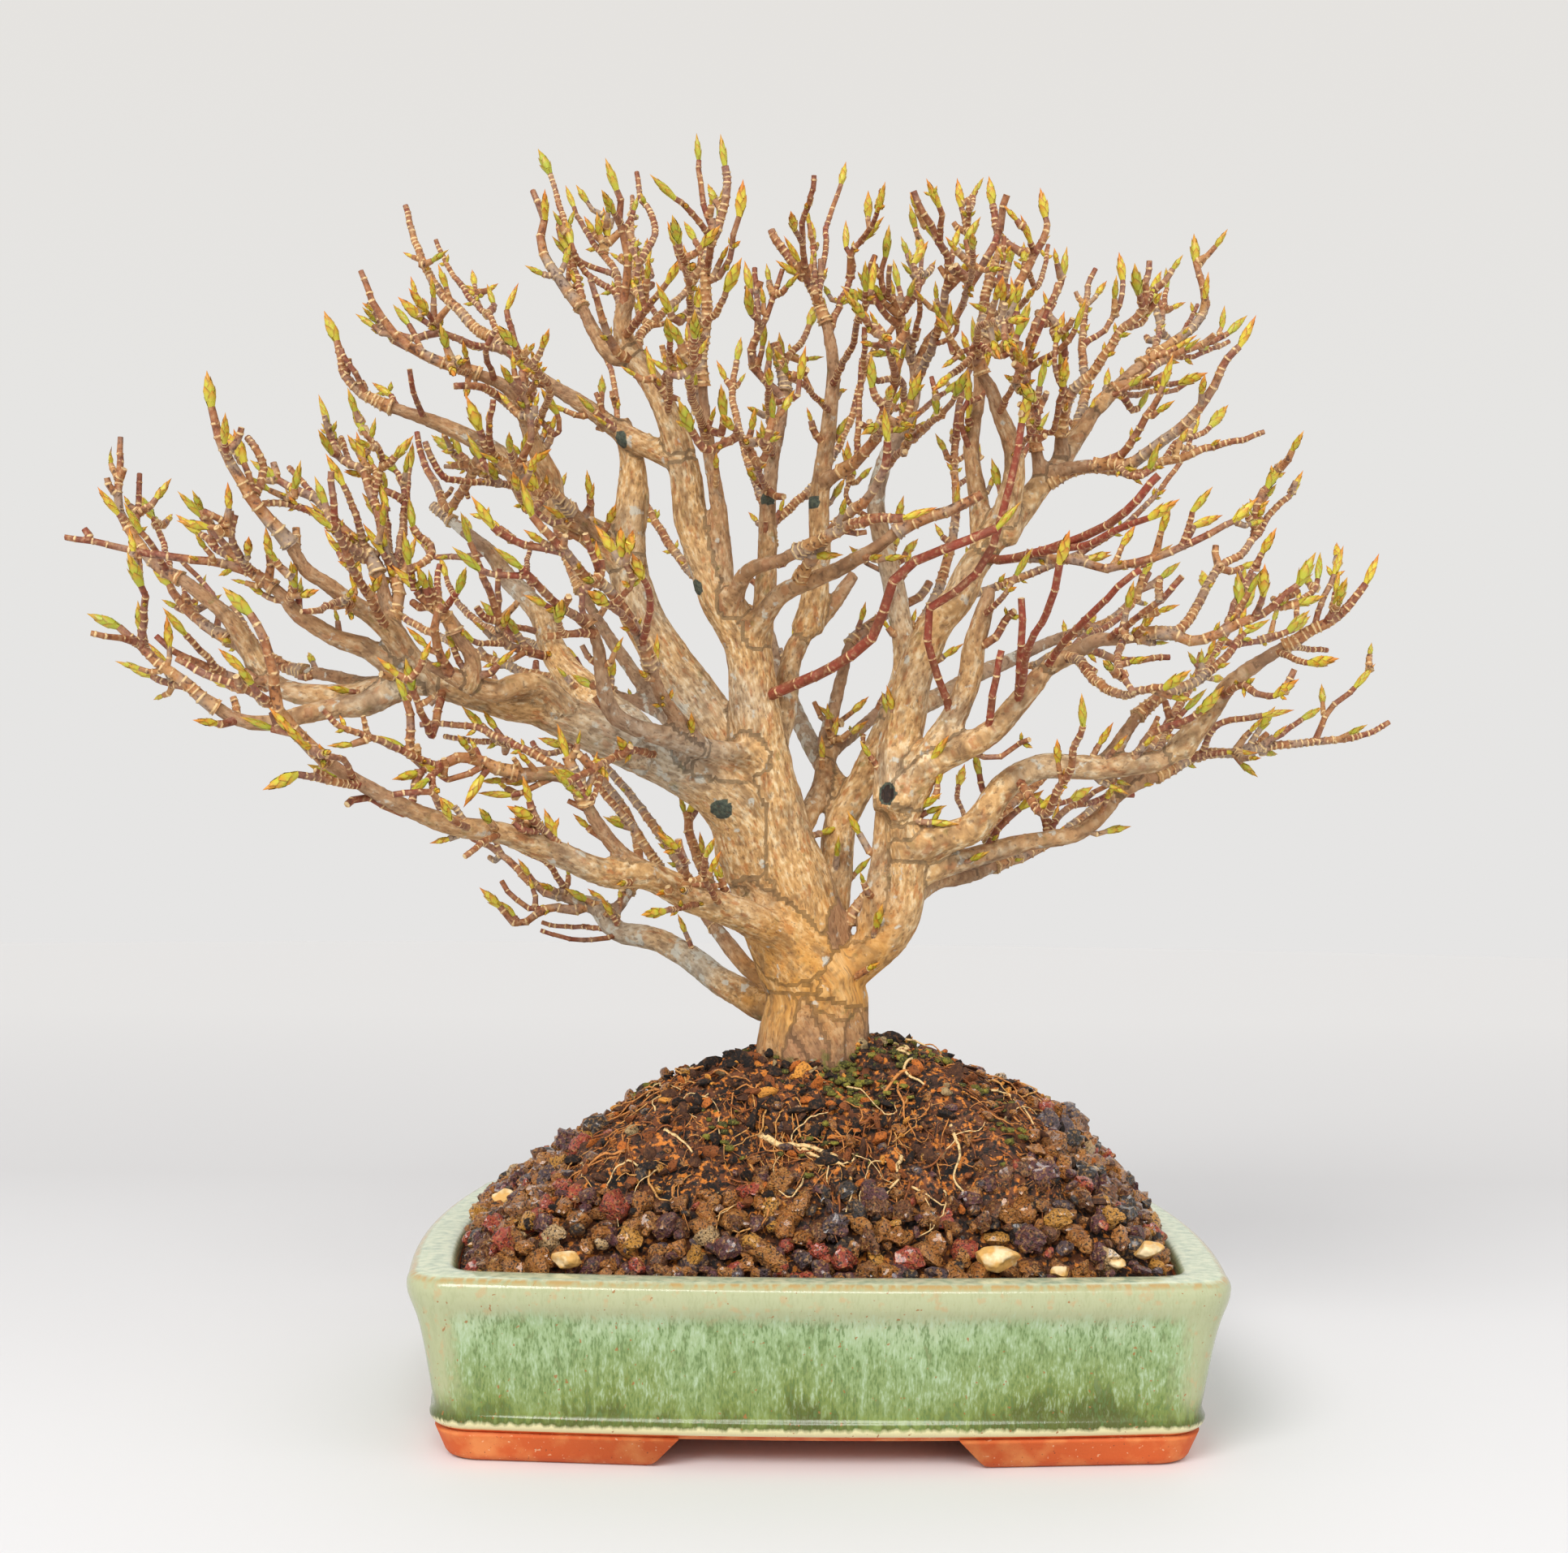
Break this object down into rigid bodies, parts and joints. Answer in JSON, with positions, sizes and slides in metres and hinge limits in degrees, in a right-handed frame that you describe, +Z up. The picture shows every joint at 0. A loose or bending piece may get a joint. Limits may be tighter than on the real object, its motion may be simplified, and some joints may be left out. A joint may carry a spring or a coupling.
{
  "type": "potted bonsai tree",
  "caption": "Leafless trident maple bonsai with swelling buds on a mounded root ball, dressed with lava gravel, in a low green glazed rectangular pot on corner feet.",
  "frame": {"origin": "middle of the whole tree and pot seen from above, on the surface that the pot's feet stand on", "axes": "+Z up along the trunk, +X along the pot's length to the right as seen from the front, -Y towards the front"},
  "size_m": [0.3162, 0.1984, 0.3216],
  "materials": {
    "bark": "rough grey-beige bark, red-brown twigs with cream rings and yellow-green buds",
    "glaze": "glossy streaked pale and olive green glaze, unglazed terracotta feet and underside",
    "soil": "dark moist peaty root ball with fine cream and orange roots",
    "lava": "porous wet lava grit, rust brown, purple brown and charcoal",
    "pale_stone": "smooth cream to ochre pebble",
    "screen": "dark moulded plastic mesh"
  },
  "bodies": {
    "root": {"pot": "glaze", "root_ball": "soil", "lava_gravel": "lava", "tree": "bark", "drain_screen_left": "screen", "drain_screen_right": "screen", "pale_pebble_1": "pale_stone", "pale_pebble_2": "pale_stone", "pale_pebble_3": "pale_stone", "pale_pebble_4": "pale_stone", "pale_pebble_5": "pale_stone", "pale_pebble_6": "pale_stone"}
  },
  "joints": []
}
